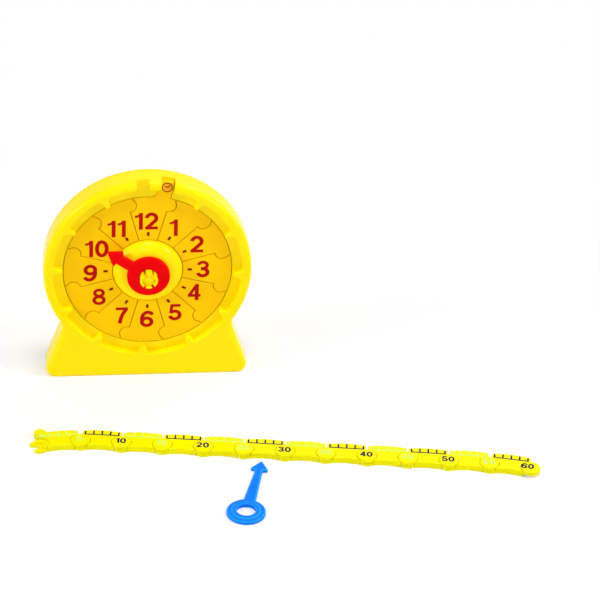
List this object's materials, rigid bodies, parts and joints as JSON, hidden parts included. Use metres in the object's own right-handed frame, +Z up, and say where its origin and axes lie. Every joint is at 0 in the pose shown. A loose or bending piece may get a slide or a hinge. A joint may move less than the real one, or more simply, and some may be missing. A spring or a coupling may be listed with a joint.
{
  "type": "teaching clock",
  "caption": "Standing toy clock whose numbered hour wedges, hour hand, loose minute hand and hinged number line teach how a line of minutes curls into a dial.",
  "frame": {"origin": "middle of the foot of the case, on the table", "axes": "+Z up, -Y the way the dial faces, +X to the right of the dial, along the number line"},
  "size_m": [0.2403, 0.1422, 0.1091],
  "materials": {
    "case_yellow": "glossy moulded",
    "wedge_gold": "glossy moulded",
    "link_yellow": "glossy moulded",
    "hand_red": "glossy moulded",
    "hand_blue": "glossy moulded",
    "screw_steel": "zinc plated"
  },
  "bodies": {
    "base": {"front_case": "case_yellow", "rear_cover": "case_yellow", "rear_screws": "screw_steel"},
    "hour_ring": {"hour_wedge_01": "wedge_gold", "hour_wedge_02": "wedge_gold", "hour_wedge_03": "wedge_gold", "hour_wedge_04": "wedge_gold", "hour_wedge_05": "wedge_gold", "hour_wedge_06": "wedge_gold", "hour_wedge_07": "wedge_gold", "hour_wedge_08": "wedge_gold", "hour_wedge_09": "wedge_gold", "hour_wedge_10": "wedge_gold", "hour_wedge_11": "wedge_gold", "hour_wedge_12": "wedge_gold"},
    "hour_hand": {"hour_hand": "hand_red"},
    "number_link_05": {"number_link_05": "link_yellow"},
    "number_link_10": {"number_link_10": "link_yellow"},
    "number_link_15": {"number_link_15": "link_yellow"},
    "number_link_20": {"number_link_20": "link_yellow"},
    "number_link_25": {"number_link_25": "link_yellow"},
    "number_link_30": {"number_link_30": "link_yellow"},
    "number_link_35": {"number_link_35": "link_yellow"},
    "number_link_40": {"number_link_40": "link_yellow"},
    "number_link_45": {"number_link_45": "link_yellow"},
    "number_link_50": {"number_link_50": "link_yellow"},
    "number_link_55": {"number_link_55": "link_yellow"},
    "number_link_60": {"number_link_60": "link_yellow"},
    "minute_hand": {"minute_hand": "hand_blue"}
  },
  "joints": [
    {"name": "hour_ring_lift", "type": "slide", "parent": "base", "child": "hour_ring", "axis": [0, -1, 0], "range_m": [0, 0.03]},
    {"name": "hour_hand_turn", "type": "hinge", "parent": "hour_ring", "child": "hour_hand", "pos_m": [0, -0.0093, 0.0583], "axis": [0, 1, 0], "continuous": true},
    {"name": "number_line_lift", "type": "slide", "parent": "base", "child": "number_link_30", "axis": [0, 0, 1], "range_m": [0, 0.06]},
    {"name": "minute_hand_lift", "type": "slide", "parent": "base", "child": "minute_hand", "axis": [0, 0, 1], "range_m": [0, 0.06]},
    {"name": "line_hinge_05_10", "type": "hinge", "parent": "number_link_10", "child": "number_link_05", "pos_m": [-0.03536, -0.06677, 0.0015], "axis": [0, 0, 1], "range_deg": [-12.4, 17.6]},
    {"name": "line_hinge_10_15", "type": "hinge", "parent": "number_link_15", "child": "number_link_10", "pos_m": [-0.01607, -0.06955, 0.0015], "axis": [0, 0, 1], "range_deg": [-0.1, 29.9]},
    {"name": "line_hinge_15_20", "type": "hinge", "parent": "number_link_20", "child": "number_link_15", "pos_m": [0.00321, -0.07237, 0.0015], "axis": [0, 0, 1], "range_deg": [-0.1, 29.9]},
    {"name": "line_hinge_20_25", "type": "hinge", "parent": "number_link_25", "child": "number_link_20", "pos_m": [0.02249, -0.07521, 0.0015], "axis": [0, 0, 1], "range_deg": [-0.1, 29.9]},
    {"name": "line_hinge_25_30", "type": "hinge", "parent": "number_link_30", "child": "number_link_25", "pos_m": [0.04177, -0.07809, 0.0015], "axis": [0, 0, 1], "range_deg": [-0.1, 29.9]},
    {"name": "line_hinge_30_35", "type": "hinge", "parent": "number_link_30", "child": "number_link_35", "pos_m": [0.06104, -0.08101, 0.0015], "axis": [0, 0, -1], "range_deg": [-0.1, 29.9]},
    {"name": "line_hinge_35_40", "type": "hinge", "parent": "number_link_35", "child": "number_link_40", "pos_m": [0.0803, -0.08396, 0.0015], "axis": [0, 0, -1], "range_deg": [-0.1, 29.9]},
    {"name": "line_hinge_40_45", "type": "hinge", "parent": "number_link_40", "child": "number_link_45", "pos_m": [0.09956, -0.08694, 0.0015], "axis": [0, 0, -1], "range_deg": [-0.1, 29.9]},
    {"name": "line_hinge_45_50", "type": "hinge", "parent": "number_link_45", "child": "number_link_50", "pos_m": [0.11882, -0.08995, 0.0015], "axis": [0, 0, -1], "range_deg": [-0.1, 29.9]},
    {"name": "line_hinge_50_55", "type": "hinge", "parent": "number_link_50", "child": "number_link_55", "pos_m": [0.13806, -0.093, 0.0015], "axis": [0, 0, -1], "range_deg": [-0.1, 29.9]},
    {"name": "line_hinge_55_60", "type": "hinge", "parent": "number_link_55", "child": "number_link_60", "pos_m": [0.15731, -0.09608, 0.0015], "axis": [0, 0, -1], "range_deg": [-6.3, 23.7]}
  ]
}
